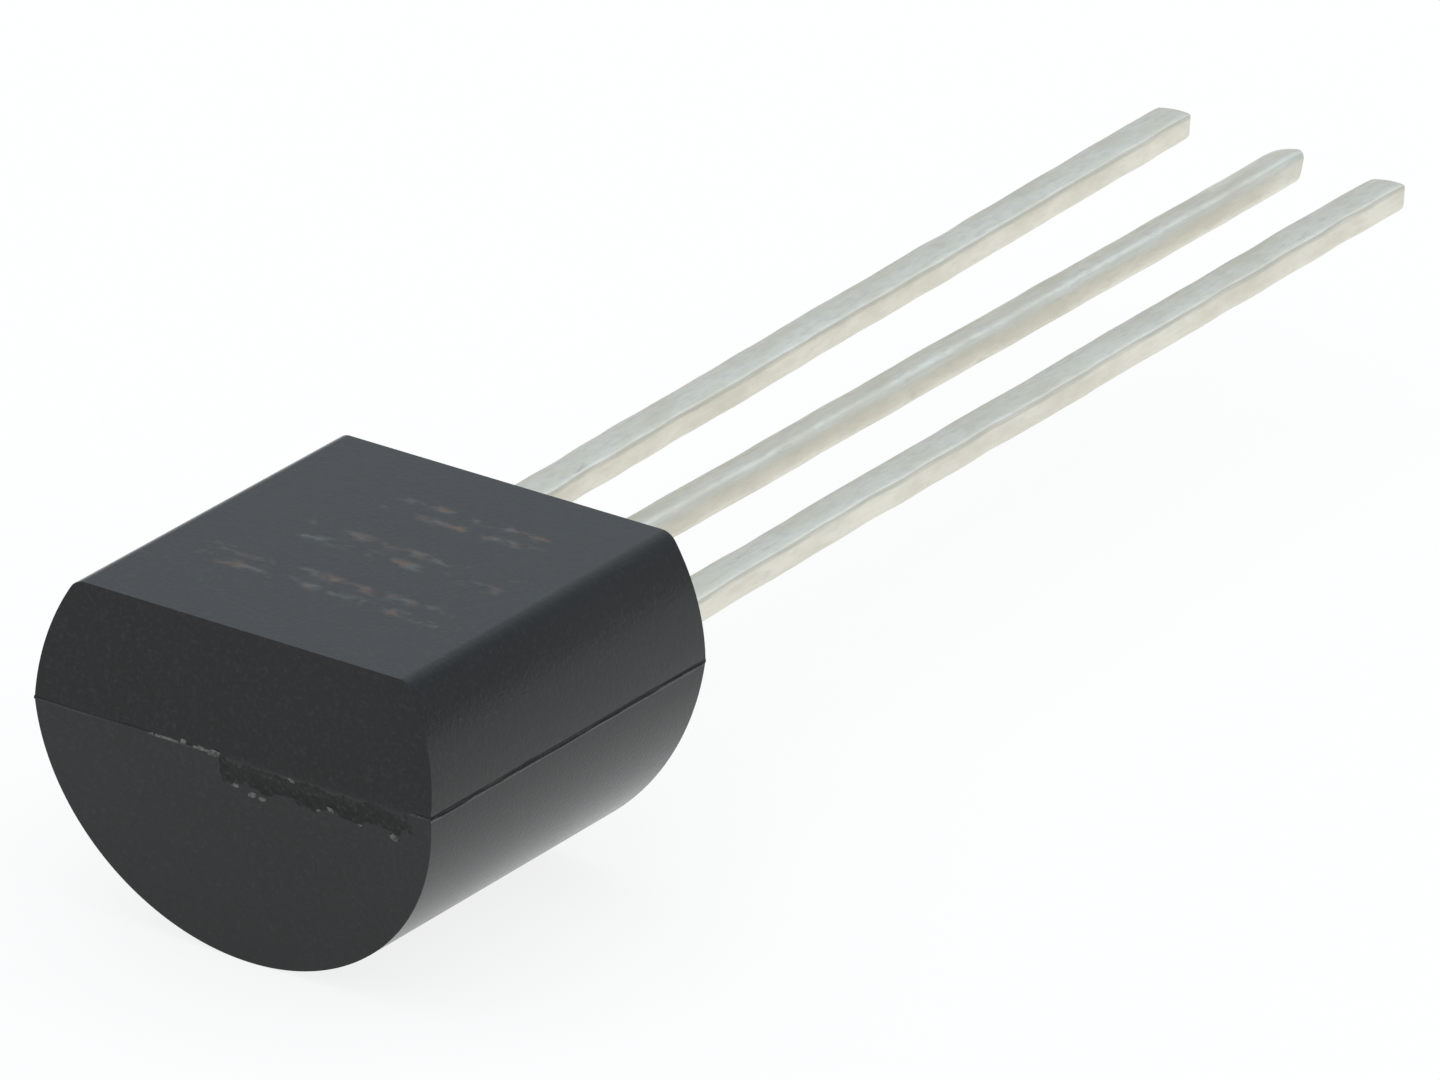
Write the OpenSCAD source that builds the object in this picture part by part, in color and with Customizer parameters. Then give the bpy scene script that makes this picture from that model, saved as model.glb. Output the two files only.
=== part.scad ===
// Shunt voltage reference in a three-lead moulded plastic package of the TO-92 outline.
// The origin is where the middle lead leaves the body, on the parting plane of the mould.
// +Y runs out along the leads, +Z is the normal of the marking flat, and +X runs across the
// leads, from the cathode lead to the reference lead. Everything is in millimetres and degrees.

/* [Moulded body] */
// Width across the leads, which is also the diameter of the round back
body_w = 4.56; // [4.4:0.01:5.2]
// Length along the leads, measured on the parting plane
body_l = 4.6; // [4.4:0.05:5.3]
// Height of the round back's centre above the parting plane
round_rise = 0.03; // [0:0.01:0.1]
// Height of the marking flat above the parting plane
flat_h = 1.28; // [1.1:0.01:1.5]
// Radius along the two long edges of the marking flat
flat_edge_r = 0.28; // [0.1:0.01:0.4]
// Draft of both end faces above the parting plane
upper_draft = 5; // [2:1:8]
// Draft of both end faces below the parting plane
lower_draft = 9; // [5:1:12]

/* [Leads outside the body] */
// Distance from one lead to the next where they leave the body
lead_pitch = 1.27; // [1.2:0.01:1.34]
// Width of a lead, across the package
lead_w = 0.42; // [0.38:0.01:0.5]
// Thickness of a lead, down from the parting plane
lead_t = 0.28; // [0.2:0.01:0.4]
// Radius of a lead's rolled corners
lead_edge_r = 0.04; // [0.02:0.01:0.08]
// Length of the cathode lead outside the body
cathode_l = 14.3; // [12.7:0.1:15]
// Length of the anode lead outside the body
anode_l = 14; // [12.7:0.1:15]
// Length of the reference lead outside the body
reference_l = 14.1; // [12.7:0.1:15]
// Sideways set of the cathode lead, away from the middle lead
cathode_set = 1.2; // [0:0.1:2]
// Sideways set of the reference lead, towards the middle lead
reference_set = 0.4; // [0:0.1:1]

/* [Lead frame inside the body] */
// How far the outer leads reach into the body, to the ends of their bond posts
post_reach = 2.15; // [2:0.05:2.4]
// Width of a bond post
post_w = 0.75; // [0.6:0.05:0.8]
// Length of a bond post
post_l = 0.7; // [0.5:0.05:0.9]
// How far the middle lead reaches into the body, to the end of its die pad
pad_reach = 3.8; // [3.7:0.05:3.9]
// Width of the die pad
pad_w = 1.5; // [1.3:0.05:1.6]
// Length of the die pad
pad_l = 1.55; // [1.4:0.05:1.6]

/* [Die] */
// Side of the square die
die_w = 0.9; // [0.7:0.05:1]
// Thickness of the die
die_t = 0.28; // [0.2:0.01:0.3]
// Thickness of the die attach layer
attach_t = 0.025; // [0.02:0.005:0.05]
// How far the attach layer squeezes out past each side of the die
attach_lip = 0.05; // [0.02:0.01:0.08]

/* [Bond wires] */
// Diameter of the gold wire
wire_d = 0.05; // [0.025:0.005:0.05]
// Diameter of a wire's ball on the die, and of its foot on the lead frame
bond_d = 0.12; // [0.1:0.01:0.14]
// Height of a ball or a foot
bond_h = 0.03; // [0.03:0.005:0.04]
// Half of the angle that a wire's arc turns through
loop_half_angle = 62; // [55:1:70]

/* [Hidden] */
$fn = 96;

body_r = body_w / 2;
body_depth = body_r - round_rise;
// The die sits in the middle of its pad
die_y = -pad_reach + pad_l / 2;
die_top = attach_t + die_t;
// Ball places on the die, in from its edge, and the middles of the bond posts
ball_inset = 0.15;
ball_x = die_w / 2 - ball_inset;
ball_y = die_y + die_w / 2 - ball_inset;
post_y = -post_reach + post_l / 2;
// The anode's down-bond lands on the pad, between the die and the neck of the lead
down_bond_y = die_y + (die_w + pad_l) / 4;

module cathode_lead() {
    color([0.76, 0.77, 0.75])
        outer_lead(-lead_pitch, cathode_l, cathode_set);
}

module reference_lead() {
    color([0.76, 0.77, 0.75])
        outer_lead(lead_pitch, reference_l, reference_set);
}

// The middle lead widens into the pad that carries the die
module anode_lead() {
    color([0.76, 0.77, 0.75]) {
        lead_bar(-pad_reach + pad_l / 2, anode_l);
        plate(pad_w, pad_l, -pad_reach);
    }
}

module die_attach() {
    attach_w = die_w + 2 * attach_lip;
    color([0.7, 0.7, 0.68])
        translate([-attach_w / 2, die_y - attach_w / 2, 0])
            cube([attach_w, attach_w, attach_t]);
}

module silicon_die() {
    color([0.32, 0.34, 0.42])
        translate([-die_w / 2, die_y - die_w / 2, attach_t])
            cube([die_w, die_w, die_t]);
}

module cathode_wire() {
    bond_wire([-ball_x, ball_y], [-lead_pitch, post_y]);
}

module anode_wire() {
    bond_wire([0, ball_y], [0, down_bond_y]);
}

module reference_wire() {
    bond_wire([ball_x, ball_y], [lead_pitch, post_y]);
}

// The epoxy is moulded round the lead frame, so it holds the exact negative of what is inside
module moulded_body() {
    color([0.15, 0.155, 0.165])
        difference() {
            body_form();
            cathode_lead();
            anode_lead();
            reference_lead();
            die_attach();
            silicon_die();
            cathode_wire();
            anode_wire();
            reference_wire();
        }
}

// D-shaped bar with drafted ends that meet on the parting plane
module body_form() {
    upper_inset = flat_h * tan(upper_draft);
    lower_inset = body_depth * tan(lower_draft);
    intersection() {
        rotate([90, 0, 0])
            linear_extrude(height = body_l)
                body_section();
        rotate([90, 0, 90])
            linear_extrude(height = body_w, center = true)
                polygon([
                    [0, 0], [-upper_inset, flat_h], [upper_inset - body_l, flat_h],
                    [-body_l, 0], [lower_inset - body_l, -body_depth], [-lower_inset, -body_depth]
                ]);
    }
}

// Round back and flat front, with an arc tangent to both at each end of the flat
module body_section() {
    flat_y = flat_h - round_rise;
    corner = [sqrt(pow(body_r - flat_edge_r, 2) - pow(flat_y - flat_edge_r, 2)), flat_y - flat_edge_r];
    tangent = corner * body_r / (body_r - flat_edge_r);
    translate([0, round_rise]) {
        intersection() {
            circle(r = body_r);
            translate([-body_r, -body_r])
                square([body_w, body_r + tangent.y]);
        }
        polygon([[-tangent.x, tangent.y], tangent, [corner.x, flat_y], [-corner.x, flat_y]]);
        for (side = [-1, 1])
            translate([side * corner.x, corner.y])
                circle(r = flat_edge_r);
    }
}

// A lead with a bond post, turned sideways by some degrees about the place where it leaves the body
module outer_lead(x, length, side_set) {
    translate([x, 0, 0]) {
        rotate([0, 0, side_set])
            lead_bar(-post_reach + post_l / 2, length);
        plate(post_w, post_l, -post_reach);
    }
}

// A straight stretch of lead from one Y to another, its top face on the parting plane
module lead_bar(from_y, to_y) {
    translate([0, to_y, -lead_t / 2])
        rotate([90, 0, 0])
            linear_extrude(height = to_y - from_y)
                lead_section();
}

module lead_section() {
    corner = [lead_w / 2 - lead_edge_r, lead_t / 2 - lead_edge_r];
    square([lead_w, 2 * corner.y], center = true);
    square([2 * corner.x, lead_t], center = true);
    for (x = [-corner.x, corner.x], y = [-corner.y, corner.y])
        translate([x, y])
            circle(r = lead_edge_r);
}

// A flat widening of the strip, centred on the lead, from one Y outwards
module plate(width, length, from_y) {
    translate([-width / 2, from_y, -lead_t])
        cube([width, length, lead_t]);
}

// A ball on the die, an arc of wire, and a foot on the lead frame
module bond_wire(ball, foot) {
    run = norm(foot - ball);
    drop = die_top;
    chord = norm([run, drop]);
    chord_angle = -atan2(drop, run);
    arc_r = chord / (2 * sin(loop_half_angle));
    heading = atan2(foot.y - ball.y, foot.x - ball.x);
    color([0.86, 0.68, 0.26]) {
        translate([ball.x, ball.y, die_top])
            cylinder(d = bond_d, h = bond_h);
        translate([foot.x, foot.y, 0])
            cylinder(d = bond_d, h = bond_h);
        translate([ball.x, ball.y, die_top + bond_h])
            rotate([0, 0, heading])
                rotate([90, 0, 0])
                    rotate([0, 0, chord_angle])
                        translate([chord / 2, -arc_r * cos(loop_half_angle), 0])
                            rotate([0, 0, 90 - loop_half_angle])
                                rotate_extrude(angle = 2 * loop_half_angle)
                                    translate([arc_r, 0])
                                        circle(d = wire_d, $fn = 24);
    }
}

moulded_body();
cathode_lead();
anode_lead();
reference_lead();
die_attach();
silicon_die();
cathode_wire();
anode_wire();
reference_wire();
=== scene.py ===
import math
import random

import bmesh
import bpy
from bpy.props import FloatProperty, FloatVectorProperty, PointerProperty
from mathutils import Matrix, Vector, noise


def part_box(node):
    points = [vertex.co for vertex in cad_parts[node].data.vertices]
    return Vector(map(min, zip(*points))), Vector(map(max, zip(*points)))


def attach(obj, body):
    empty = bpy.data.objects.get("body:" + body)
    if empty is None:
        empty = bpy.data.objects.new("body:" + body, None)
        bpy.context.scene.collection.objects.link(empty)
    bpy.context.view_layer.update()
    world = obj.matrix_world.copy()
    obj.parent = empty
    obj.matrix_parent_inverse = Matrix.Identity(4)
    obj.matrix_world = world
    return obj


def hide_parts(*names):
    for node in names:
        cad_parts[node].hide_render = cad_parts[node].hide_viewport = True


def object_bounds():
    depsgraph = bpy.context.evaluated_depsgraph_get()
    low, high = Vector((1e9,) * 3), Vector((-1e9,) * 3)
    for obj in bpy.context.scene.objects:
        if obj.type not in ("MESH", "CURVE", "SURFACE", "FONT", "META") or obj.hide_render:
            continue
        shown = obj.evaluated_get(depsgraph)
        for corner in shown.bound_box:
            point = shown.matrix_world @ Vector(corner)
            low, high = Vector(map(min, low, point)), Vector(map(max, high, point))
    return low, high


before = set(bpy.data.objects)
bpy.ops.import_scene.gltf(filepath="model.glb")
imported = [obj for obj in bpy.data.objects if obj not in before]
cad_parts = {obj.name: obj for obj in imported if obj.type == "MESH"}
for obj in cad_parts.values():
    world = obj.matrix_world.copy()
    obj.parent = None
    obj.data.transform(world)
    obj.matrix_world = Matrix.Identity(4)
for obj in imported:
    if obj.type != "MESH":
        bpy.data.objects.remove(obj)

bl_info = {
    "name": "Three-lead chip package",
    "version": (1, 0, 0),
    "blender": (4, 5, 0),
    "location": "3D View > Sidebar > Chip",
    "description": "Moulded body, tinned leads and studio for a three-lead voltage reference",
    "category": "Add Mesh",
}

MM = 0.001
UM = 0.000001
MERGE_MM = 0.00005      # how close two corners of one CAD mesh lie where they are the same
CAD_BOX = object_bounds()
BODY_LOW, BODY_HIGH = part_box("moulded_body")
RADIUS = (BODY_HIGH.x - BODY_LOW.x) / 2 / MM
LENGTH = (BODY_HIGH.y - BODY_LOW.y) / MM
FLAT_Z = BODY_HIGH.z / MM
ROUND_Z = BODY_LOW.z / MM + RADIUS
STRIP_LOW, STRIP_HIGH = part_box("anode_lead")
STRIP_THICK = (STRIP_HIGH.z - STRIP_LOW.z) / MM
STRIP_WIDTH = 0.42      # not read from the frame, because a lead's box is as wide as its plate
LEADS = ("cathode_lead", "anode_lead", "reference_lead")
WIRES = ("cathode_wire", "anode_wire", "reference_wire")
INSIDE = ("die_attach", "silicon_die", *WIRES)
TORN, CHIPPED, FLASH = 1, 2, 3      # the moulding's materials after its plain skin
SHARE, FIRST, SECOND = 0, 6, 7      # a colour Mix node's sockets, because their names repeat


def linear(code):
    """Turns an sRGB hex colour into Blender's linear red, green, blue and alpha."""
    parts = [int(code[i:i + 2], 16) / 255 for i in (1, 3, 5)]
    return (*(p / 12.92 if p <= 0.04045 else ((p + 0.055) / 1.055) ** 2.4 for p in parts), 1.0)


def colour(name, description, code):
    """A colour setting."""
    return FloatVectorProperty(
        name=name, description=description, subtype="COLOR", size=3,
        min=0, max=1, default=linear(code)[:3],
    )


def length(name, description, default):
    """A size setting, in metres."""
    return FloatProperty(
        name=name, description=description, default=default, unit="LENGTH", precision=6,
    )


def angle(name, description, degrees):
    """An angle setting, given in degrees."""
    return FloatProperty(
        name=name, description=description, default=math.radians(degrees), subtype="ANGLE",
    )


class ChipBodySettings(bpy.types.PropertyGroup):
    """Sizes and colours of the moulded body"""

    upper_draft: angle("Upper draft", "Draft of the end faces above the parting line", 5)
    lower_draft: angle("Lower draft", "Draft of the end faces below the parting line", 9)
    flat_edge: length("Flat edge", "Radius of the flat's two long edges", 0.16 * MM)
    end_edge: length("End edge", "Radius of the edges round the two ends", 0.07 * MM)
    flash_out: length("Flash", "How far the flash stands out along the parting line", 0.012 * MM)
    flash_height: length("Flash height", "Thickness of the flash", 0.038 * MM)
    gate_from: length("Gate start", "Where the broken gate starts, across the body", -0.15 * MM)
    gate_to: length("Gate end", "Where the broken gate ends, across the body", 2.1 * MM)
    gate_drop: length("Gate drop", "How far the broken gate reaches down", 0.31 * MM)
    gate_depth: length("Gate depth", "Mean depth of the torn surface", 0.014 * MM)
    epoxy: colour("Epoxy", "Black filled epoxy", "#050606")
    torn: colour("Torn epoxy", "Freshly broken epoxy", "#090909")
    filler: colour("Filler", "Silica grains in the broken epoxy", "#66655f")
    mark: colour("Mark", "Laser-faded epoxy on the flat", "#6b6d6c")
    scorch: colour("Scorch", "Laser-faded epoxy that has browned", "#7f5f45")


class ChipLeadSettings(bpy.types.PropertyGroup):
    """Sizes and colours of the leads"""

    shake: length("Edge shake", "How far the sheared edges wander from straight", 0.02 * MM)
    crown: length("Crown", "How far a lead's upper face bulges", 0.02 * MM)
    wander: length("Wander", "How far a lead's surface wanders from true", 0.01 * MM)
    cathode_set: angle("Cathode set", "Sideways set of the cathode lead", 1.2)
    reference_set: angle("Reference set", "Sideways set of the reference lead", 0.4)
    lift: length("Lift", "How far the free leads stand above the parting plane", 0.008 * MM)
    cathode_roll: angle("Cathode roll", "Twist of the cathode lead", -4)
    anode_roll: angle("Anode roll", "Twist of the anode lead", -15)
    reference_roll: angle("Reference roll", "Twist of the reference lead", -6)
    tip_roll: length("Tip roll", "How far the cutter pressed down a lead's tip", 0.014 * MM)
    tin: colour("Tin", "Matt tin plating", "#e2dfd2")
    dull_tin: colour("Dull tin", "Tin that has begun to yellow", "#d3cfbd")
    burnished: colour("Burnished tin", "Tin on the sheared sides", "#f2eee2")
    # Colour of a darker line along each lead side just below its top edge: painted shade of the
    # edge
    shear: colour("Shear line", "The dull line where the strip was sheared", "#cfccc1")


class ChipStageSettings(bpy.types.PropertyGroup):
    """Camera, floor and lamps"""

    azimuth: angle("Azimuth", "Camera angle round the object", 33.1035)
    elevation: angle("Elevation", "Camera angle above the horizon", 23.8017)
    roll: angle("Roll", "Camera turn about its own line of sight", 1.9203)
    distance: length("Distance", "From the camera to the point that it aims at", 176.202 * MM)
    aim: FloatVectorProperty(
        name="Aim", description="Point at the middle of the picture", subtype="TRANSLATION",
        default=(-0.21012 * MM, 4.0 * MM, -0.81889 * MM), precision=6,
    )
    lens: FloatProperty(
        name="Lens", description="Focal length in millimetres", unit="CAMERA", default=450.0,
    )
    floor: colour("Floor", "Pale paper floor", "#f7f7f4")
    sky: colour("Sky", "Even light from above", "#e0f0ff")
    horizon: colour("Horizon", "Even light from near the horizon", "#cbcbcb")
    lamp: colour("Lamp", "Light of the lamps", "#fff2e0")
    lit_floor: FloatProperty(
        name="Lit floor", description="How much of the floor's white is its own light",
        subtype="FACTOR", min=0, max=1, default=0.84,
    )
    top_lamp: FloatProperty(
        name="Top lamp", description="Power of the overhead lamp", unit="POWER", default=0.75,
    )
    back_lamp: FloatProperty(
        name="Back lamp", description="Power of the lamp behind", unit="POWER", default=0.014,
    )


# ---------------------------------------------------------------- materials


def add(tree, kind, inputs=(), **options):
    """Adds one shader node. Its inputs are given in order or by name, each as a value, a socket
    to link, or a node, which stands for its first output in use."""
    made = tree.nodes.new(f"ShaderNode{kind}")
    for name, value in options.items():
        setattr(made, name, value)
    for name, value in inputs.items() if isinstance(inputs, dict) else enumerate(inputs):
        if isinstance(value, bpy.types.Node):
            value = next(socket for socket in value.outputs if socket.enabled)
        if isinstance(value, bpy.types.NodeSocket):
            tree.links.new(value, made.inputs[name])
        else:
            made.inputs[name].default_value = value
    return made


def start_material(name):
    """A new material and the empty tree for its nodes."""
    material = bpy.data.materials.new(name)
    material.use_nodes = True
    material.node_tree.nodes.clear()
    return material, material.node_tree


def place_in_mm(tree):
    """Where a point lies on its piece, in millimetres."""
    place = add(tree, "TexCoord").outputs["Object"]
    return add(tree, "VectorMath", {0: place, "Scale": 1 / MM}, operation="SCALE")


def rgba(colour_of, brightness=1.0):
    """A setting's colour as a node takes it, made brighter or darker."""
    return (*(part * brightness for part in colour_of), 1.0)


def laser_marks(tree, in_mm):
    """How strongly each point of the flat is marked: three faint plain bars, each a pair of
    lines worn into streaks."""
    line_gap, line_core, line_fade = 0.13, 0.03, 0.11
    rows_y_and_ends_x = ((-3.13, -1.4, 1.42), (-2.16, -1.0, 1.44), (-1.15, -0.62, 1.3))
    streak_mm, stretch = 0.15, (0.62, 1.0, 1.0)
    x, y, z = add(tree, "SeparateXYZ", (in_mm,)).outputs
    total = 0.0
    for row_y, x_from, x_to in rows_y_and_ends_x:
        off_row = add(tree, "Math", (y, row_y), operation="SUBTRACT")
        off_row = add(tree, "Math", (off_row,), operation="ABSOLUTE")
        off_line = add(tree, "Math", (off_row, line_gap), operation="SUBTRACT")
        off_line = add(tree, "Math", (off_line,), operation="ABSOLUTE")
        on_line = add(tree, "MapRange", (off_line, line_core, line_fade, 1.0, 0.0))
        off_middle = add(tree, "Math", (x, (x_from + x_to) / 2), operation="SUBTRACT")
        off_middle = add(tree, "Math", (off_middle,), operation="ABSOLUTE")
        in_span = add(tree, "Math", (off_middle, (x_to - x_from) / 2), operation="LESS_THAN")
        bar = add(tree, "Math", (on_line, in_span), operation="MULTIPLY")
        total = add(tree, "Math", (total, bar), operation="ADD")
    streaks = add(tree, "Mapping", {"Vector": in_mm, "Scale": stretch})
    wear = add(tree, "TexNoise", {
        "Vector": streaks, "Scale": 1 / streak_mm, "Detail": 2.0, "Roughness": 0.5,
    })
    worn = add(tree, "MapRange", (wear, 0.48, 0.68))
    on_flat = add(tree, "Math", (z, FLAT_Z - 0.01), operation="GREATER_THAN")
    marks = add(tree, "Math", (total, worn), operation="MULTIPLY")
    return add(tree, "Math", (marks, on_flat), operation="MULTIPLY")


def moulded_epoxy(settings):
    """Black silica-filled epoxy, transfer moulded against spark-eroded steel: dull, near black,
    with a fine even grain of filler, faint clouds where the resin flowed, and worn laser marks.
    Painted light makes it paler towards the end with the leads, and a painted reflection of the
    white floor makes it paler below the parting line. The grain is drawn at 0.05 mm, coarser than
    the real one, so that it shows."""
    cloud_mm, erosion_mm, scorch_mm = 1.6, 0.05, 0.3
    end_painted_light, cloud_bloom, lower_painted_reflection, parting_mm = 0.6, 0.3, 0.45, 0.05
    pale_brightness, filler_brightness, mark_strength, mark_roughness = 5, 10, 0.37, 0.06
    material, tree = start_material("moulded_epoxy")
    in_mm = place_in_mm(tree)
    _, along, height = add(tree, "SeparateXYZ", (in_mm,)).outputs
    clouds = add(tree, "TexNoise", {
        "Vector": in_mm, "Scale": 1 / cloud_mm, "Detail": 4.0, "Roughness": 0.55,
    })
    erosion = add(tree, "TexNoise", {
        "Vector": in_mm, "Scale": 1 / erosion_mm, "Detail": 3.0, "Roughness": 0.7,
    })
    # Painted light: paler towards the end with the leads. Painted reflection of the floor: paler
    # below the parting line. The clouds are random tone.
    at_end = add(tree, "MapRange", (along, -LENGTH, 0.0, 0.0, end_painted_light))
    cloudy = add(tree, "MapRange", (clouds, 0.35, 0.65, 0.0, cloud_bloom))
    below = add(tree, "MapRange", (height, -parting_mm, parting_mm, lower_painted_reflection, 0.0))
    clouds_and_painted_light = add(tree, "Math", (at_end, cloudy), operation="ADD")
    clouds_and_painted_light = add(tree, "Math", (clouds_and_painted_light, below), operation="ADD")
    clouded_and_lit = add(tree, "Mix", {
        SHARE: clouds_and_painted_light, FIRST: rgba(settings.epoxy), SECOND: rgba(settings.epoxy, pale_brightness),
    }, data_type="RGBA")
    filler = add(tree, "MapRange", (erosion, 0.5, 0.75))
    grainy = add(tree, "Mix", {
        SHARE: filler, FIRST: clouded_and_lit, SECOND: rgba(settings.epoxy, filler_brightness),
    }, data_type="RGBA")
    marks = laser_marks(tree, in_mm)
    heat = add(tree, "TexNoise", {
        "Vector": in_mm, "Scale": 1 / scorch_mm, "Detail": 2.0, "Roughness": 0.55,
    })
    scorched = add(tree, "MapRange", (heat, 0.42, 0.58))
    mark = add(tree, "Mix", {
        SHARE: scorched, FIRST: rgba(settings.mark), SECOND: rgba(settings.scorch),
    }, data_type="RGBA")
    faint = add(tree, "Math", (marks, mark_strength), operation="MULTIPLY")
    base = add(tree, "Mix", {SHARE: faint, FIRST: grainy, SECOND: mark}, data_type="RGBA")
    skin = add(tree, "MapRange", (clouds, 0.3, 0.7, 0.18, 0.23))
    rougher = add(tree, "Math", (marks, mark_roughness), operation="MULTIPLY")
    shader = add(tree, "BsdfPrincipled", {
        "Base Color": base,
        "Roughness": add(tree, "Math", (skin, rougher), operation="ADD"),
        "IOR": 1.4,
        "Normal": add(tree, "Bump", {"Height": erosion, "Distance": 4 * UM, "Strength": 0.7}),
    })
    add(tree, "OutputMaterial", {"Surface": shader})
    return material


def torn_epoxy(settings, name, gloss):
    """The same epoxy where it broke, at the gate and on the flash: rough and dead matt, darker
    than the moulded skin, with a few pale silica grains. The thin flash has less gloss."""
    crumb_mm, silica_mm = 0.06, 0.0625
    material, tree = start_material(name)
    in_mm = place_in_mm(tree)
    crumbs = add(tree, "TexNoise", {
        "Vector": in_mm, "Scale": 1 / crumb_mm, "Detail": 4.0, "Roughness": 0.7,
    })
    silica = add(tree, "TexVoronoi", {"Vector": in_mm, "Scale": 1 / silica_mm})
    pale = add(tree, "MapRange", (silica, 0.1, 0.4, 0.12, 0.0))
    shader = add(tree, "BsdfPrincipled", {
        "Base Color": add(tree, "Mix", {
            SHARE: pale, FIRST: rgba(settings.torn), SECOND: rgba(settings.filler),
        }, data_type="RGBA"),
        "Roughness": add(tree, "MapRange", (crumbs, 0.3, 0.7, 0.45, 0.65)),
        "IOR": 1.42,
        "Specular IOR Level": gloss,
        "Normal": add(tree, "Bump", {"Height": crumbs, "Distance": 8 * UM, "Strength": 0.35}),
    })
    add(tree, "OutputMaterial", {"Surface": shader})
    return material


def chipped_epoxy(settings):
    """Small raised crumbs of broken epoxy, where the pale filler shows most, made paler still as a
    painted glint on their broken edges.
    """
    crumb_mm = 0.05
    material, tree = start_material("chipped_epoxy")
    crumbs = add(tree, "TexNoise", {
        "Vector": place_in_mm(tree), "Scale": 1 / crumb_mm, "Detail": 2.0, "Roughness": 0.55,
    })
    # Pale filler, and a painted glint of light on the broken crumbs
    pale = add(tree, "MapRange", (crumbs, 0.35, 0.6, 0.3, 1.0))
    base = add(tree, "Mix", {
        SHARE: pale, FIRST: rgba(settings.torn), SECOND: rgba(settings.filler),
    }, data_type="RGBA")
    shader = add(tree, "BsdfPrincipled", {"Base Color": base, "Roughness": 0.6, "IOR": 1.46})
    add(tree, "OutputMaterial", {"Surface": shader})
    return material


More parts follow.
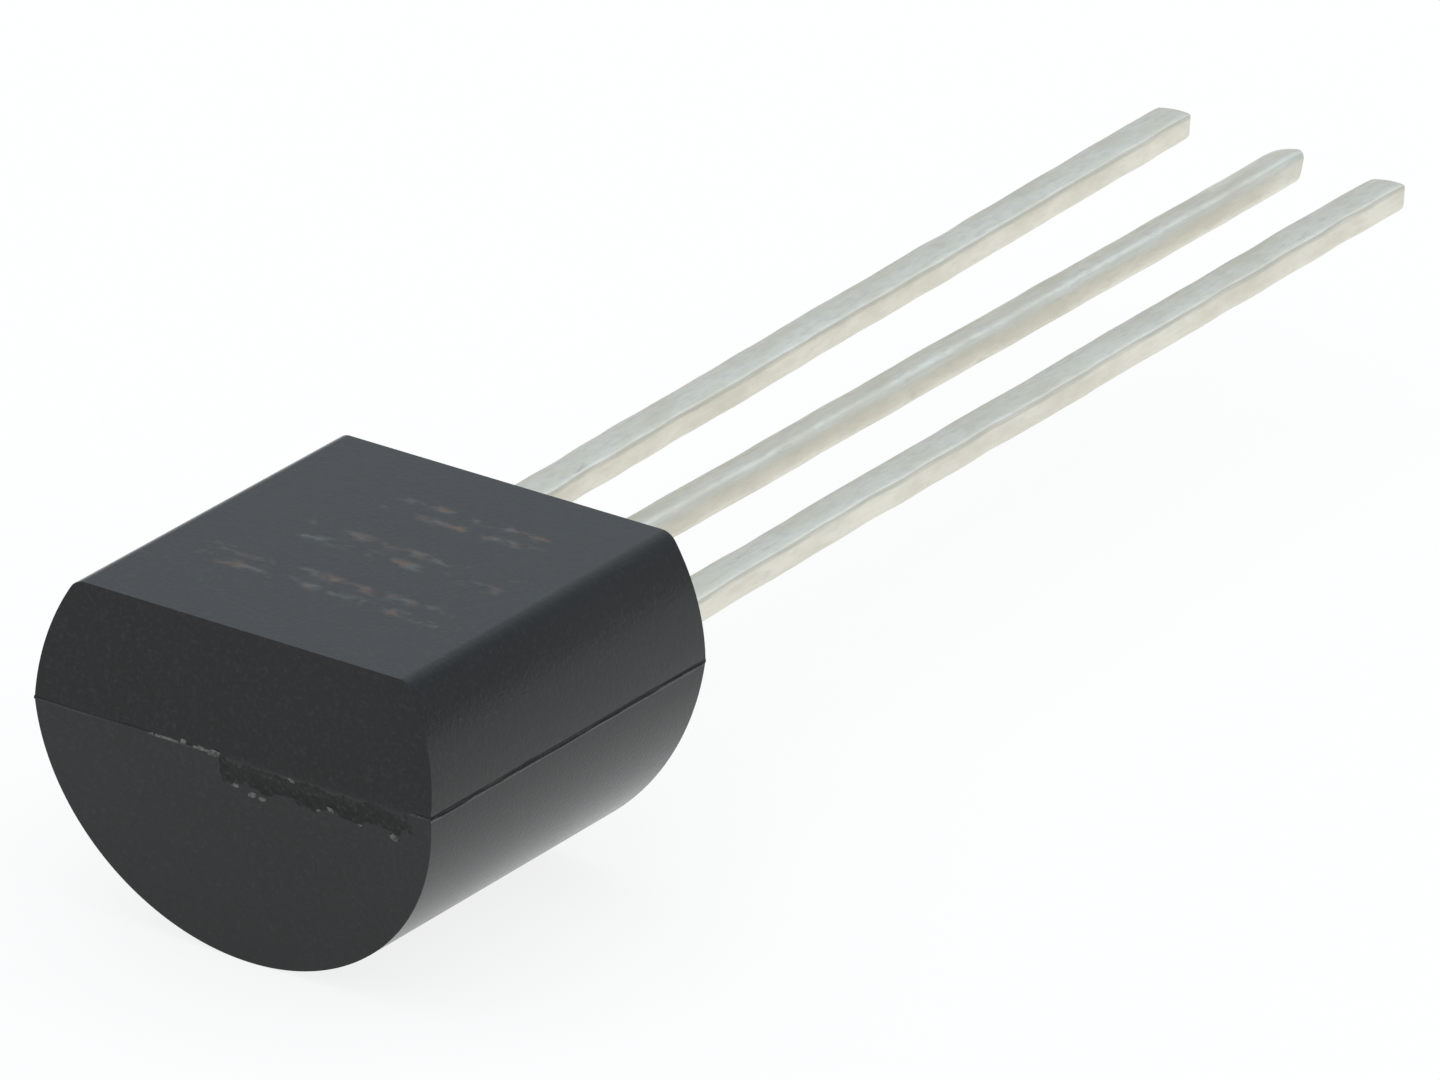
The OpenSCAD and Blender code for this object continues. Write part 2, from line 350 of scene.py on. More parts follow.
def tin_plate(settings):
    """Matt tin electroplated on stamped copper alloy strip: satin and pale grey, with fine lines
    along the strip from rolling, cloudy patches that have dulled and yellowed, a mottle of
    crystals, and a few ragged dark stains. The sheared sides are brighter but rougher. A darker
    line along them just below the top edge is painted shade of the edge, and it is rougher too.
    Lines and crystals are drawn coarser than the real ones, so that they show."""
    line_mm, patch_mm, crystal_mm, stain_mm = 0.035, 0.3, 0.06, 1 / 1.3
    near_side_mm, bright_mm, shade_line_z, shade_line_mm, shade_line_fade_mm = 0.175, 0.02, -0.03, 0.01, 0.035
    worn_brightness, stain_brightness, burnish_share = 0.8, 0.45, 0.4
    side_roughness, shade_line_roughness = 0.12, 0.15
    material, tree = start_material("tin_plate")
    strip = add(tree, "Attribute", attribute_name="strip_place").outputs["Vector"]
    drawn = add(tree, "Mapping", {"Vector": strip, "Scale": (1.0, 0.04, 1.0)})
    rolled = add(tree, "Mapping", {"Vector": strip, "Scale": (1.0, 0.3, 1.0)})
    stained = add(tree, "Mapping", {"Vector": strip, "Scale": (1.6, 0.5, 1.6)})
    x, _, z = add(tree, "SeparateXYZ", (strip,)).outputs
    off_middle = add(tree, "Math", (x,), operation="ABSOLUTE")
    lines = add(tree, "TexNoise", {
        "Vector": drawn, "Scale": 1 / line_mm, "Detail": 2.0, "Roughness": 0.55,
    })
    patches = add(tree, "TexNoise", {
        "Vector": rolled, "Scale": 1 / patch_mm, "Detail": 4.0, "Roughness": 0.65,
    })
    crystals = add(tree, "TexNoise", {
        "Vector": rolled, "Scale": 1 / crystal_mm, "Detail": 3.0, "Roughness": 0.6,
    })

    dulled = add(tree, "MapRange", (patches, 0.42, 0.66))
    base = add(tree, "Mix", {
        SHARE: dulled, FIRST: rgba(settings.tin), SECOND: rgba(settings.dull_tin),
    }, data_type="RGBA")
    rolling = add(tree, "MapRange", (lines, 0.55, 0.8, 0.0, 0.6))
    base = add(tree, "Mix", {
        SHARE: rolling, FIRST: base, SECOND: rgba(settings.tin, worn_brightness),
    }, data_type="RGBA")
    mottle = add(tree, "MapRange", (crystals, 0.48, 0.72, 0.0, 0.75))
    base = add(tree, "Mix", {
        SHARE: mottle, FIRST: base, SECOND: rgba(settings.tin, worn_brightness),
    }, data_type="RGBA")

    cells = add(tree, "TexVoronoi", {"Vector": stained, "Scale": 1 / stain_mm})
    rag = add(tree, "Math", (crystals, 0.35), operation="MULTIPLY")
    ragged = add(tree, "Math", (cells, rag), operation="ADD")
    stain = add(tree, "MapRange", (ragged, 0.2, 0.27, 0.5, 0.0))
    base = add(tree, "Mix", {
        SHARE: stain, FIRST: base, SECOND: rgba(settings.tin, stain_brightness),
    }, data_type="RGBA")

    side_from = STRIP_WIDTH / 2 - bright_mm
    on_side = add(tree, "Math", (off_middle, side_from), operation="GREATER_THAN")
    burnish = add(tree, "Math", (on_side, burnish_share), operation="MULTIPLY")
    base = add(tree, "Mix", {
        SHARE: burnish, FIRST: base, SECOND: rgba(settings.burnished),
    }, data_type="RGBA")
    # A darker line along each side just below the top edge: painted shade of the edge, also made a
    # little rougher.
    near_side = add(tree, "Math", (off_middle, near_side_mm), operation="GREATER_THAN")
    off_shade_line = add(tree, "Math", (z, -shade_line_z), operation="ADD")
    off_shade_line = add(tree, "Math", (off_shade_line,), operation="ABSOLUTE")
    on_shade_line = add(tree, "MapRange", (off_shade_line, shade_line_mm, shade_line_fade_mm, 1.0, 0.0))
    shear = add(tree, "Math", (near_side, on_shade_line), operation="MULTIPLY")
    uneven = add(tree, "MapRange", (lines, 0.3, 0.6, 0.2, 0.8))
    shear = add(tree, "Math", (shear, uneven), operation="MULTIPLY")
    base = add(tree, "Mix", {
        SHARE: shear, FIRST: base, SECOND: rgba(settings.shear),
    }, data_type="RGBA")

    rough = add(tree, "MapRange", (patches, 0.3, 0.7, 0.27, 0.4))
    side_rough = add(tree, "Math", (on_side, side_roughness), operation="MULTIPLY")
    rough = add(tree, "Math", (rough, side_rough), operation="ADD")
    shade_line_rough = add(tree, "Math", (shear, shade_line_roughness), operation="MULTIPLY")
    fine = add(tree, "Bump", {"Height": lines, "Distance": 3 * UM, "Strength": 0.4})
    shader = add(tree, "BsdfPrincipled", {
        "Base Color": base,
        "Metallic": 1.0,
        "Roughness": add(tree, "Math", (rough, shade_line_rough), operation="ADD"),
        "Normal": add(tree, "Bump", {
            "Height": crystals, "Distance": 5 * UM, "Strength": 0.7, "Normal": fine,
        }),
    })
    add(tree, "OutputMaterial", {"Surface": shader})
    return material


def polished_silicon():
    """Passivated silicon: a dark, glassy blue-grey face with a fine grid of circuit blocks."""
    block_mm = 1 / 9
    material, tree = start_material("polished_silicon")
    blocks = add(tree, "TexBrick", {
        "Vector": place_in_mm(tree), "Scale": 1 / block_mm, "Mortar Size": 0.03,
        "Color1": linear("#3c4258"), "Color2": linear("#54586b"), "Mortar": linear("#8d8f96"),
    }, offset=0.37)
    shader = add(tree, "BsdfPrincipled", {
        "Base Color": blocks, "Roughness": 0.15, "Metallic": 0.6,
    })
    add(tree, "OutputMaterial", {"Surface": shader})
    return material


def silver_epoxy():
    """Cured silver-filled epoxy: dull grey paste full of bright flakes."""
    flake_mm = 0.015
    material, tree = start_material("silver_epoxy")
    flakes = add(tree, "TexNoise", {
        "Vector": place_in_mm(tree), "Scale": 1 / flake_mm, "Detail": 2.0, "Roughness": 0.55,
    })
    shader = add(tree, "BsdfPrincipled", {
        "Base Color": add(tree, "Mix", {
            SHARE: flakes, FIRST: linear("#8d8c86"), SECOND: linear("#d4d3cd"),
        }, data_type="RGBA"),
        "Metallic": 0.7,
        "Roughness": 0.5,
        "Normal": add(tree, "Bump", {"Height": flakes, "Distance": 2 * UM, "Strength": 0.6}),
    })
    add(tree, "OutputMaterial", {"Surface": shader})
    return material


def drawn_gold():
    """Drawn gold wire: clean yellow metal with a faint unevenness from the die."""
    line_mm = 0.01
    material, tree = start_material("drawn_gold")
    lines = add(tree, "TexNoise", {
        "Vector": place_in_mm(tree), "Scale": 1 / line_mm, "Detail": 1.0, "Roughness": 0.55,
    })
    base = add(tree, "Mix", {
        SHARE: lines, FIRST: linear("#d9a441"), SECOND: linear("#ecc06a"),
    }, data_type="RGBA")
    shader = add(tree, "BsdfPrincipled", {"Base Color": base, "Metallic": 1.0, "Roughness": 0.22})
    add(tree, "OutputMaterial", {"Surface": shader})
    return material


# ---------------------------------------------------------------- mesh helpers
# Pieces are modelled in millimetres and made metres at the end, because bmesh merges and
# cuts by fixed small distances that are too coarse for a part of this size in metres.


def geometry(made, kind):
    """The vertices, edges or faces in what a bmesh operator returns."""
    return [g for g in made if isinstance(g, kind)]


def cut_away(bm, point, normal):
    """Removes what lies on the normal's side of a plane and closes the cut."""
    everything = [*bm.verts, *bm.edges, *bm.faces]
    cut = bmesh.ops.bisect_plane(
        bm, geom=everything, plane_co=point, plane_no=normal, clear_outer=True,
    )
    rim = geometry(cut["geom_cut"], bmesh.types.BMEdge)
    bmesh.ops.holes_fill(bm, edges=[e for e in rim if e.is_boundary])


def slice_across(bm, height):
    """Adds a loop of edges round the mesh at one height."""
    everything = [*bm.verts, *bm.edges, *bm.faces]
    bmesh.ops.bisect_plane(bm, geom=everything, plane_co=(0, 0, height), plane_no=(0, 0, 1))


def region(faces):
    """Faces with their edges and corners, so that an extrude leaves no face behind inside."""
    return list({part for f in faces for part in (f, *f.edges, *f.verts)})


def pull(bm, faces, along):
    """Extrudes faces by a vector and gives back the faces at the new end."""
    made = bmesh.ops.extrude_face_region(bm, geom=region(faces))["geom"]
    bmesh.ops.translate(bm, verts=geometry(made, bmesh.types.BMVert), vec=along)
    return geometry(made, bmesh.types.BMFace)


def round_off(bm, edges, radius, steps):
    """Rounds edges."""
    bmesh.ops.bevel(
        bm, geom=edges, offset=radius, offset_type="OFFSET", affect="EDGES",
        segments=steps, profile=0.5, material=-1, clamp_overlap=True, loop_slide=True,
    )


def tidy(bm):
    """Merges the slivers that rounding leaves where an edge runs nearly straight on."""
    sliver = 0.0008
    bmesh.ops.remove_doubles(bm, verts=bm.verts, dist=sliver)
    bmesh.ops.dissolve_degenerate(bm, edges=bm.edges, dist=sliver)


def loose_object(name, bm, materials=()):
    """Makes an object from a bmesh, with its normals out and its place in its mesh."""
    bmesh.ops.recalc_face_normals(bm, faces=bm.faces)
    mesh = bpy.data.meshes.new(name)
    bm.to_mesh(mesh)
    bm.free()
    for material in materials:
        mesh.materials.append(material)
    made = bpy.data.objects.new(name, mesh)
    bpy.context.scene.collection.objects.link(made)
    return made


def merged_copy(source, scale):
    """A copy of an object's mesh as one closed skin, scaled."""
    bm = bmesh.new()
    bm.from_mesh(source.data)
    bmesh.ops.scale(bm, verts=bm.verts, vec=(scale, scale, scale))
    bmesh.ops.remove_doubles(bm, verts=bm.verts, dist=MERGE_MM)
    return loose_object(f"{source.name}_copy", bm)


def combine(target, tool, operation):
    """Adds or cuts one closed solid and removes the tool."""
    step = target.modifiers.new("step", "BOOLEAN")
    step.operation = operation
    step.solver = "EXACT"
    step.object = tool
    bpy.context.view_layer.update()
    shape = target.evaluated_get(bpy.context.evaluated_depsgraph_get())
    done = bpy.data.meshes.new_from_object(shape)
    target.modifiers.remove(step)
    old = target.data
    target.data = done
    bpy.data.meshes.remove(old)
    bpy.data.objects.remove(tool)


def drop_spare_corners(made):
    """Removes corners that only lie along a straight edge between two faces, because cutting
    those faces into triangles could use the same line twice and pinch the skin."""
    bm = bmesh.new()
    bm.from_mesh(made.data)
    bmesh.ops.dissolve_verts(bm, verts=[v for v in bm.verts if len(v.link_edges) == 2])
    bm.to_mesh(made.data)
    bm.free()


def soften(made, crease_degrees):
    """Smooth shading that stays crisp at corners and flat on flat faces."""
    made.data.polygons.foreach_set("use_smooth", [True] * len(made.data.polygons))
    made.data.set_sharp_from_angle(angle=math.radians(crease_degrees))
    weight = made.modifiers.new("flat_faces", "WEIGHTED_NORMAL")
    weight.keep_sharp = True
    weight.weight = 90


def finish_piece(made, slot, *nodes):
    """Makes a piece metres, puts it on the body and hides the CAD parts that it stands for. The
    slot, its finish, is not used.
    """
    made.data.transform(Matrix.Scale(MM, 4))
    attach(made, "root")
    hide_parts(*nodes)


# ---------------------------------------------------------------- the moulded body


def d_section(bm, edge):
    """One flat face: the round back, the marking flat, and an arc between them at each side."""
    round_steps, edge_steps, reach_margin = 192, 8, 1.15
    flat_rise = FLAT_Z - ROUND_Z
    corner_x = math.sqrt(RADIUS ** 2 - flat_rise ** 2)
    reach = corner_x - math.sqrt((RADIUS - edge) ** 2 - (flat_rise - edge) ** 2)
    upright = Matrix.Rotation(math.pi / 2, 3, "X")
    bmesh.ops.create_circle(bm, cap_ends=True, segments=round_steps, radius=RADIUS)
    bmesh.ops.rotate(bm, verts=bm.verts, cent=(0, 0, 0), matrix=upright)
    bmesh.ops.translate(bm, verts=bm.verts, vec=(0, 0, ROUND_Z))
    everything = [*bm.verts, *bm.edges, *bm.faces]
    bmesh.ops.bisect_plane(
        bm, geom=everything, plane_co=(0, 0, FLAT_Z), plane_no=(0, 0, 1), clear_outer=True,
    )
    corners = sorted(bm.verts, key=lambda v: v.co.z)[-2:]
    for corner in corners:
        others = [v for v in bm.verts if v not in corners]
        near = [v for v in others if (v.co - corner.co).length < reach * reach_margin]
        bmesh.ops.dissolve_verts(bm, verts=near)
    bmesh.ops.bevel(
        bm, geom=corners, offset=reach, offset_type="ABSOLUTE", affect="VERTICES",
        segments=edge_steps, profile=0.5, material=-1,
    )


def moulding(settings):
    """The D-shaped block with drafted ends and rounded edges."""
    turn, end_steps = math.radians(30), 5
    bm = bmesh.new()
    d_section(bm, settings.flat_edge / MM)
    pull(bm, bm.faces[:], (0, -LENGTH, 0))
    for end_y, out in ((0, 1), (-LENGTH, -1)):
        for draft, up in ((settings.upper_draft, 1), (settings.lower_draft, -1)):
            cut_away(bm, (0, end_y, 0), (0, out * math.cos(draft), up * math.sin(draft)))
    bmesh.ops.recalc_face_normals(bm, faces=bm.faces)
    ends = [e for e in bm.edges if e.calc_face_angle(0) > turn]
    round_off(bm, ends, settings.end_edge / MM, end_steps)
    tidy(bm)
    return bm


def raise_flash(bm, settings):
    """Pulls out the thin ragged fin that the mould leaves round its parting line, except where
    the gate broke away."""
    half = settings.flash_height / MM / 2
    out = settings.flash_out / MM
    start, end = settings.gate_from / MM, settings.gate_to / MM
    piece_mm, long_mm, crumbly_mm, crumbly_patch_mm = 0.09, 1, 0.85, 0.2
    lump, crumb = 1 / 0.5, 1 / 0.13         # the raggedness, in turns per millimetre
    lump_share, crumb_share, least_share = 1.1, 0.6, 0.15
    thin_rim, rim_wander, rim_wave_mm, end_share = 0.75, 0.01, 0.4, 0.35
    for height in (half, -half):
        slice_across(bm, height)
    band = [f for f in bm.faces if abs(f.calc_center_median().z) < half]
    long_edges = {e for f in band for e in f.edges if e.calc_length() > long_mm}
    cuts = round(LENGTH / piece_mm)
    bmesh.ops.subdivide_edges(bm, edges=list(long_edges), cuts=cuts, use_grid_fill=True)
    band = []
    for face in bm.faces:
        middle = face.calc_center_median()
        closed_end = middle.y < -LENGTH + out + half
        if abs(middle.z) < half and not (closed_end and start < middle.x < end):
            band.append(face)
            broken = noise.noise(Vector((middle.x, 0, 5)) / crumbly_patch_mm) > -0.1
            crumbly = closed_end and broken and start - crumbly_mm < middle.x < start
            if crumbly or not closed_end:
                face.material_index = CHIPPED if crumbly else FLASH
    bm.normal_update()
    outward = {}
    for vert in {v for f in band for v in f.verts}:
        push = Vector((vert.normal.x, vert.normal.y, 0)).normalized()
        lumps = lump_share * noise.noise(vert.co * lump)
        ragged = 1 + lumps + crumb_share * noise.noise(vert.co * crumb)
        on_end = 1 - (1 - end_share) * abs(push.y)
        outward[tuple(vert.co)] = push * out * max(least_share, ragged) * on_end
    made = bmesh.ops.extrude_face_region(bm, geom=region(band))["geom"]
    for vert in geometry(made, bmesh.types.BMVert):
        vert.co += outward[tuple(vert.co)]
        vert.co.z *= thin_rim
        vert.co.z += rim_wander * noise.noise(Vector((vert.co.x, vert.co.y, 2)) / rim_wave_mm)


def end_face_y(z, lower_draft):
    """Where the closed end's lower face lies at a height below the parting plane."""
    return -LENGTH - z * math.tan(lower_draft)


def torn_gate(settings):
    """What broke away with the gate: a slab whose rough floor rises out of the body at its rim,
    so that the scar fades into the face."""
    columns, rows = 120, 22
    start, end = settings.gate_from / MM, settings.gate_to / MM
    drop, depth = settings.gate_drop / MM, settings.gate_depth / MM
    lump, crumb = 1 / 0.25, 1 / 0.06        # the roughness, in turns per millimetre
    lump_share, crumb_share = 0.45, 0.35
    slope_mm, fade_mm, rim_lift = 0.14, 0.8, 0.3
    slab_depth = 8 * depth
    upright = Matrix.Rotation(math.pi / 2, 3, "X")
    bm = bmesh.new()
    bmesh.ops.create_grid(bm, x_segments=columns, y_segments=rows, size=0.5)
    bmesh.ops.scale(bm, verts=bm.verts, vec=(end - start, drop, 1))
    bmesh.ops.rotate(bm, verts=bm.verts, cent=(0, 0, 0), matrix=upright)
    bmesh.ops.translate(bm, verts=bm.verts, vec=((start + end) / 2, 0, -drop / 2))
    for vert in bm.verts:
        x, y, z = vert.co
        shake = noise.noise(vert.co * lump + Vector((3, 0, 7)))
        fine = noise.noise(vert.co * crumb)
        rim = min(1, (x - start) / slope_mm, -z / slope_mm, (z + drop) / slope_mm)
        rim = min(rim, (end - x) / fade_mm)
        vert.co.y = end_face_y(z, settings.lower_draft)
        vert.co.y += depth * (rim - rim_lift + lump_share * shake + crumb_share * fine)
    pull(bm, bm.faces[:], (0, -slab_depth, 0))
    for face in bm.faces:
        face.material_index = TORN
    return bm


def chips(settings):
    """Crumbs of epoxy that cling to the parting line and to the edge of the torn gate."""
    depth_share, height_share = 0.2, 0.5
    places_and_sizes = (
        (-0.92, 0.0, 0.035), (-0.56, 0.015, 0.055), (-0.2, 0.0, 0.075), (-0.34, 0.005, 0.04),
        (0.02, -0.29, 0.05), (0.22, -0.335, 0.06), (0.33, -0.35, 0.05), (0.69, -0.04, 0.042),
        (0.98, -0.28, 0.03), (1.12, -0.23, 0.05), (1.45, -0.3, 0.025), (1.84, -0.32, 0.06),
    )
    dice = random.Random(11)
    bm = bmesh.new()
    for x, z, size in places_and_sizes:
        draft = settings.upper_draft if z > 0 else settings.lower_draft
        y = -LENGTH + abs(z) * math.tan(draft)
        made = bmesh.ops.create_icosphere(bm, subdivisions=2, radius=size)["verts"]
        for vert in made:
            vert.co *= dice.uniform(0.6, 1.2)
            vert.co.y *= depth_share
            vert.co.z *= height_share
        turn = Matrix.Rotation(dice.uniform(-0.4, 0.4), 3, "Y")
        bmesh.ops.rotate(bm, verts=made, cent=(0, 0, 0), matrix=turn)
        bmesh.ops.translate(bm, verts=made, vec=(x, y, z))
    for face in bm.faces:
        face.material_index = CHIPPED
    return bm


class CHIP_OT_moulded_body(bpy.types.Operator):
    """Builds the moulded body with its flash, its torn gate and the hollows for what it holds"""

    bl_idname = "chip.moulded_body"
    bl_label = "Moulded body"

    def execute(self, context):
        settings = context.scene.chip_body
        gate_gloss, flash_gloss, crease_degrees = 0.43, 0.2, 32
        finishes = (
            moulded_epoxy(settings), torn_epoxy(settings, "torn_epoxy", gate_gloss),
            chipped_epoxy(settings), torn_epoxy(settings, "flash_epoxy", flash_gloss),
        )
        bm = moulding(settings)
        raise_flash(bm, settings)
        made = loose_object("epoxy_moulding", bm, finishes)
        combine(made, loose_object("gate", torn_gate(settings), finishes), "DIFFERENCE")
        combine(made, loose_object("chips", chips(settings), finishes), "UNION")
        for node in LEADS:
            combine(made, merged_copy(bpy.data.objects[f"{node}_plated"], 1 / MM), "DIFFERENCE")
        for node in INSIDE:
            combine(made, merged_copy(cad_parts[node], 1 / MM), "DIFFERENCE")
        drop_spare_corners(made)
        soften(made, crease_degrees)
        finish_piece(made, "moulding_compound", "moulded_body")
        return {"FINISHED"}


# ---------------------------------------------------------------- the leads


def section(bm, width, thick, corners, crown):
    """One flat face: the strip's cross-section, its upper side bulging and its corners rolled."""
    crown_cuts, corner_steps = 7, 5
    bmesh.ops.create_grid(bm, x_segments=1, y_segments=1, size=0.5)
    bmesh.ops.scale(bm, verts=bm.verts, vec=(width, thick, 1))
    bmesh.ops.translate(bm, verts=bm.verts, vec=(0, -thick / 2, 0))
    radii = {vert: corners[vert.co.y > -thick / 2, vert.co.x > 0] for vert in bm.verts}
    for vert, radius in radii.items():
        bmesh.ops.bevel(
            bm, geom=[vert], offset=radius, offset_type="OFFSET", affect="VERTICES",
            segments=corner_steps, profile=0.5, material=-1,
        )
    top = max(bm.edges, key=lambda e: (e.verts[0].co.y + e.verts[1].co.y, e.calc_length()))
    bmesh.ops.subdivide_edges(bm, edges=[top], cuts=crown_cuts)
    for vert in bm.verts:
        across = 2 * vert.co.x / width
        height = 1 + vert.co.y / thick
        vert.co.y += crown * (1 - across * across) * max(0, 2 * height - 1)
    upright = Matrix.Rotation(math.pi / 2, 3, "X")
    bmesh.ops.rotate(bm, verts=bm.verts, cent=(0, 0, 0), matrix=upright)


def lengthen(bm, faces, distance, step):
    """Carries a section on along the strip in short rings."""
    rings = max(1, round(abs(distance) / step))
    for _ in range(rings):
        faces = pull(bm, faces, (0, distance / rings, 0))
    return faces


def lead(settings, plate, pitch_x, side_set, roll, tip, slant, corners, seed):
    """One stamped lead: its plate inside the body, its bar, and its tip as the cutter left it.
    Outside the body it sways, twists and wanders, more with distance until it is free."""
    width, thick = STRIP_WIDTH, STRIP_THICK
    plate_from, plate_to, plate_width = plate
    coarse, fine, neck, taper = 0.12, 0.04, 0.01, 0.06
    tip_length, free_mm, nick_mm = 0.5, 2.4, 0.55
    sway_rate, heave_rate, swell_rate, swell_share = 0.45, 0.6, 1.1, 0.03
    crown, wander = settings.crown / MM, settings.wander / MM
    twist_x, twist_z = -width / 3, -thick / 2
    strip_gap = 20          # sets the leads apart on the strip, so that their patterns differ
    bm = bmesh.new()
    place = bm.verts.layers.float_vector.new("strip_place")
    section(bm, width, thick, corners, crown)
    bmesh.ops.translate(bm, verts=bm.verts, vec=(0, plate_to, 0))
    outer = pull(bm, bm.faces[:], (0, neck, 0))
    outer = lengthen(bm, outer, tip - tip_length - plate_to, coarse)
    lengthen(bm, outer, tip_length, fine)
    inner = [min(bm.faces, key=lambda f: f.calc_center_median().y)]
    inner = pull(bm, inner, (0, -taper, 0))
    bmesh.ops.scale(bm, verts=inner[0].verts, vec=(plate_width / width, 1, 1))
    pull(bm, inner, (0, plate_from - plate_to + taper, 0))
    end = max(v.co.y for v in bm.verts)
    for vert in bm.verts:
        x, y, z = vert.co
        vert[place] = (x, y + seed * strip_gap, z)
        near_tip = max(0, (y - end) / tip_length + 1)
        height = 1 + z / thick
        vert.co.z -= settings.tip_roll / MM * near_tip ** 4 * height
        vert.co.y -= slant * near_tip * (1 - height)
        if y < 0:
            continue
        free = min(1, y / free_mm)
        free = free * free * (3 - 2 * free)
        sway = noise.noise((seed, y * sway_rate, 0))
        heave = noise.noise((seed, y * heave_rate, 9))
        vert.co += Vector((sway, 0, heave)) * wander * free
        swell = 1 + swell_share * noise.noise((seed, y * swell_rate, 4)) * free
        nick = noise.noise((math.copysign(3, x), y / nick_mm, seed))
        vert.co.x = x * swell + x / width * settings.shake / MM * 2 * nick * free
        spin = Matrix.Rotation(roll * free, 3, "Y")
        centre = Vector((twist_x, y, twist_z))
        vert.co = centre + spin @ (vert.co - centre)
        vert.co.z += settings.lift / MM * free
    for vert in bm.verts:
        if vert.co.y > plate_to:
            vert.co = Matrix.Rotation(side_set, 3, "Z") @ vert.co
        vert.co.x += pitch_x
    return bm


class CHIP_OT_leads(bpy.types.Operator):
    """Builds the three tinned leads"""

    bl_idname = "chip.leads"
    bl_label = "Leads"

    def execute(self, context):
        settings = context.scene.chip_leads
        tin = tin_plate(settings)
        pitch, crease_degrees = 1.27, 40
        post_from_to_width, pad_from_to_width = (-2.15, -1.45, 0.75), (-3.8, -2.25, 1.5)
        cathode_tip, anode_tip, reference_tip = 14.33, 14.1, 14.08
        cathode_slant, anode_slant, reference_slant = 0.05, 0.22, 0.06
        upper_left, upper_right, lower_left, lower_right = (1, 0), (1, 1), (0, 0), (0, 1)
        sharp = {upper_left: 0.035, upper_right: 0.03, lower_left: 0.03, lower_right: 0.07}
        worn = {upper_left: 0.04, upper_right: 0.09, lower_left: 0.03, lower_right: 0.07}
        shapes = {
            "cathode_lead": (
                post_from_to_width, -pitch, settings.cathode_set, settings.cathode_roll,
                cathode_tip, cathode_slant, sharp,
            ),
            "anode_lead": (
                pad_from_to_width, 0, 0, settings.anode_roll, anode_tip, anode_slant, worn,
            ),
            "reference_lead": (
                post_from_to_width, pitch, settings.reference_set, settings.reference_roll,
                reference_tip, reference_slant, sharp,
            ),
        }
        for seed, (node, shape) in enumerate(shapes.items(), 1):
            made = loose_object(f"{node}_plated", lead(settings, *shape, seed), [tin])
            soften(made, crease_degrees)
            finish_piece(made, "tinned_lead", node)
        return {"FINISHED"}


class CHIP_OT_inside(bpy.types.Operator):
    """Finishes the die, its adhesive and the bond wires inside the body"""

    bl_idname = "chip.inside"
    bl_label = "Die and wires"

    def execute(self, context):
        finishes = {"silicon_die": polished_silicon(), "die_attach": silver_epoxy()}
        finishes.update(dict.fromkeys(WIRES, drawn_gold()))
        for node, material in finishes.items():
            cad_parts[node].data.materials.clear()
            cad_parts[node].data.materials.append(material)
        return {"FINISHED"}


# ---------------------------------------------------------------- the stage


def paper_floor(settings):
    """Pale matt paper lit from below too: white to the eye and in reflections, with the shadow
    of the object still on it."""
    fibre_mm, mirrored_share = 0.4, 0.88
    material, tree = start_material("paper_floor")
    fibre = add(tree, "TexNoise", {
        "Vector": place_in_mm(tree), "Scale": 1 / fibre_mm, "Detail": 3.0, "Roughness": 0.55,
    })
    base = add(tree, "Mix", {
        SHARE: fibre, FIRST: rgba(settings.floor), SECOND: rgba(settings.floor, 0.99),
    }, data_type="RGBA")
    paper = add(tree, "BsdfPrincipled", {
        "Base Color": base, "Roughness": 0.9, "Specular IOR Level": 0.1,
    })
    glow = add(tree, "Emission", {"Color": (1, 1, 1, 1), "Strength": 1.0})
    ray = add(tree, "LightPath").outputs
    mirrored = add(tree, "Math", (ray["Is Glossy Ray"], mirrored_share), operation="MULTIPLY")
    seen = add(tree, "Math", (ray["Is Camera Ray"], mirrored), operation="MAXIMUM")
    seen = add(tree, "Math", (seen, ray["Is Transmission Ray"]), operation="MAXIMUM")
    share = add(tree, "Math", (seen, settings.lit_floor), operation="MULTIPLY")
    surface = add(tree, "MixShader", (share, paper, glow))
    add(tree, "OutputMaterial", {"Surface": surface})
    return material


def even_light(settings):
    """Soft light from all round, weaker near the horizon, as from a ceiling of white paper."""
    world = bpy.data.worlds.new("even_light")
    world.use_nodes = True
    tree = world.node_tree
    tree.nodes.clear()
    way = add(tree, "TexCoord").outputs["Generated"]
    up = add(tree, "SeparateXYZ", (way,)).outputs["Z"]
    height = add(tree, "MapRange", (up, 0.0, 0.7))
    shades = add(tree, "Mix", {
        SHARE: height, FIRST: rgba(settings.horizon), SECOND: rgba(settings.sky),
    }, data_type="RGBA")
    add(tree, "OutputWorld", {"Surface": add(tree, "Background", {"Color": shades})})
    return world


def area_lamp(name, size, place, power, light):
    """A square lamp that faces the origin."""
    data = bpy.data.lights.new(name, "AREA")
    data.shape = "SQUARE"
    data.size = size
    data.energy = power
    data.color = light
    lamp = bpy.data.objects.new(name, data)
    bpy.context.scene.collection.objects.link(lamp)
    lamp.location = place
    lamp.rotation_euler = (-Vector(place)).to_track_quat("-Z", "Y").to_euler()


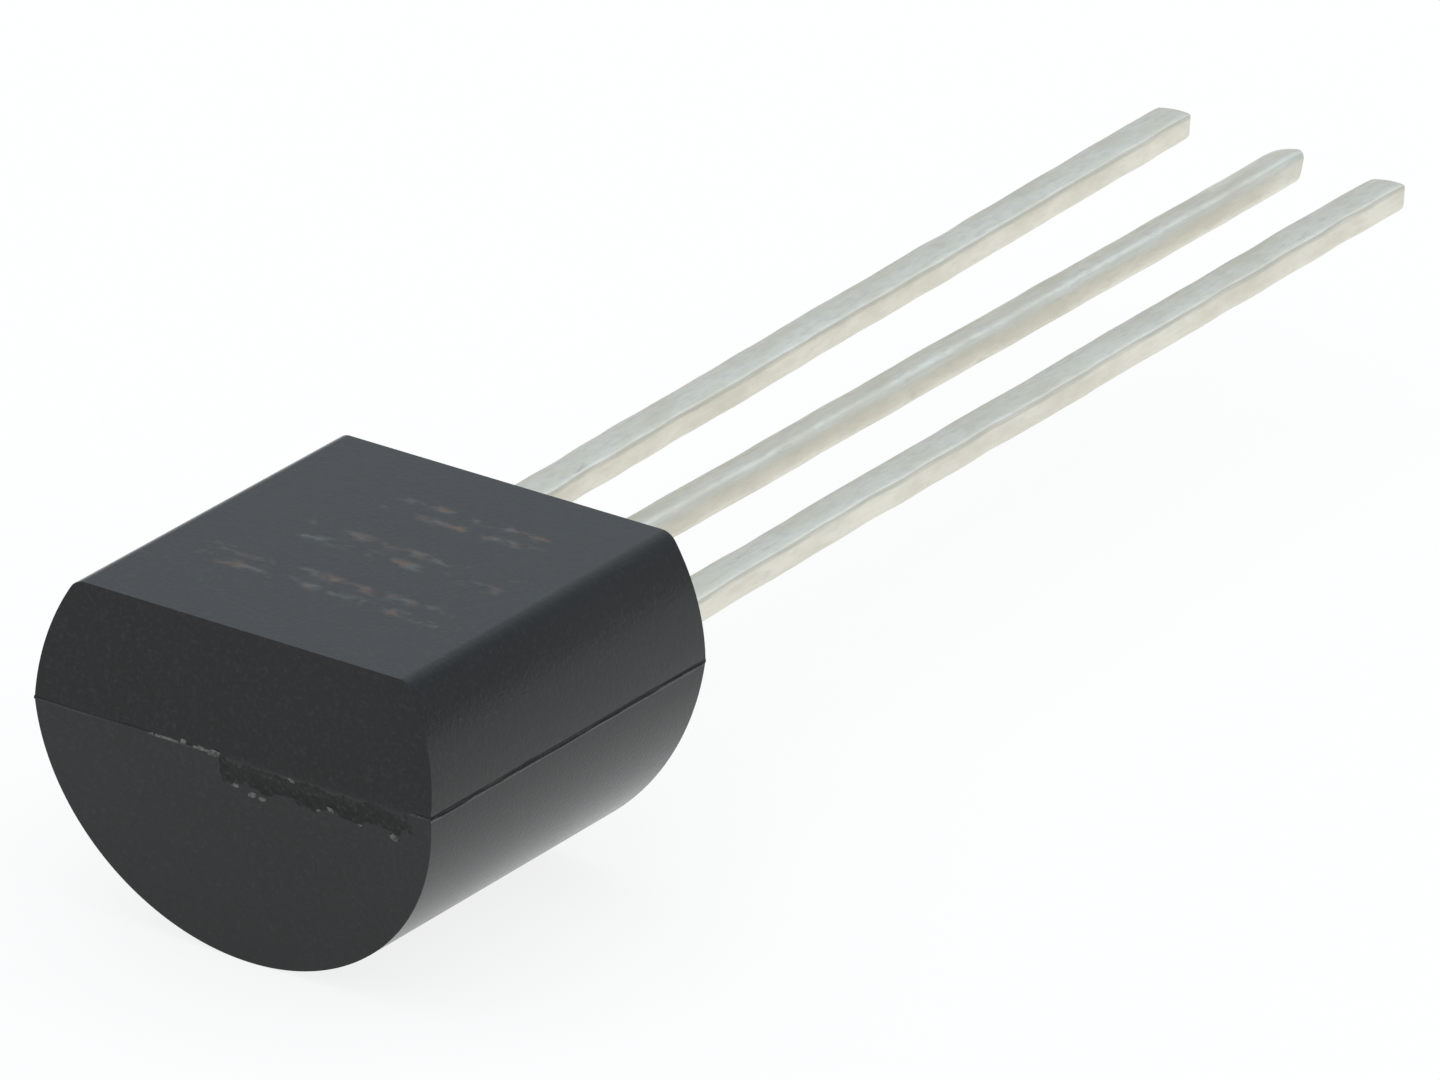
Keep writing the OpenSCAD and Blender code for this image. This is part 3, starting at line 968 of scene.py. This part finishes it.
class CHIP_OT_stage(bpy.types.Operator):
    """Sets the pale floor, the soft lamps, the even light and the camera"""

    bl_idname = "chip.stage"
    bl_label = "Stage"

    def execute(self, context):
        settings = context.scene.chip_stage
        scene = context.scene
        floor_half = 1.5
        top_size, top_place = 0.6, (0.02, 0.0, 0.4)
        back_size, back_place = 0.2, (-0.048, 0.308, 0.252)
        bm = bmesh.new()
        bmesh.ops.create_grid(bm, x_segments=1, y_segments=1, size=floor_half)
        bmesh.ops.translate(bm, verts=bm.verts, vec=(0, 0, CAD_BOX[0].z))
        floor = loose_object("floor", bm, [paper_floor(settings)])
        scene.world = even_light(settings)
        area_lamp("top_lamp", top_size, top_place, settings.top_lamp, settings.lamp)
        area_lamp("back_lamp", back_size, back_place, settings.back_lamp, settings.lamp)
        data = bpy.data.cameras.new("camera")
        data.lens = settings.lens
        data.clip_start = MM
        camera = bpy.data.objects.new("camera", data)
        scene.collection.objects.link(camera)
        turn = (
            Matrix.Rotation(settings.azimuth, 4, "Z")
            @ Matrix.Rotation(math.pi / 2 - settings.elevation, 4, "X")
            @ Matrix.Rotation(settings.roll, 4, "Z")
        )
        aim = Matrix.Translation(settings.aim)
        back = Matrix.Translation((0, 0, settings.distance))
        camera.matrix_world = aim @ turn @ back
        scene.camera = camera
        scene.view_settings.view_transform = "Standard"
        return {"FINISHED"}


class CHIP_PT_panel(bpy.types.Panel):
    """Lists the steps that build the chip"""

    bl_label = "Chip package"
    bl_idname = "CHIP_PT_panel"
    bl_space_type = "VIEW_3D"
    bl_region_type = "UI"
    bl_category = "Chip"

    def draw(self, context):
        for step in STEPS:
            self.layout.operator(step.bl_idname)
        for group in (context.scene.chip_body, context.scene.chip_leads, context.scene.chip_stage):
            box = self.layout.box()
            for name in group.bl_rna.properties.keys():
                if name not in ("rna_type", "name"):
                    box.prop(group, name)


STEPS = (CHIP_OT_leads, CHIP_OT_moulded_body, CHIP_OT_inside, CHIP_OT_stage)
GROUPS = {
    "chip_body": ChipBodySettings,
    "chip_leads": ChipLeadSettings,
    "chip_stage": ChipStageSettings,
}


def register():
    for kind in (*GROUPS.values(), *STEPS, CHIP_PT_panel):
        bpy.utils.register_class(kind)
    for name, kind in GROUPS.items():
        setattr(bpy.types.Scene, name, PointerProperty(type=kind))


def unregister():
    for name in GROUPS:
        delattr(bpy.types.Scene, name)
    for kind in reversed((*GROUPS.values(), *STEPS, CHIP_PT_panel)):
        bpy.utils.unregister_class(kind)


def main():
    """Builds everything."""
    register()
    bpy.ops.chip.leads()
    bpy.ops.chip.moulded_body()
    bpy.ops.chip.inside()
    bpy.ops.chip.stage()


if __name__ == "__main__":
    main()
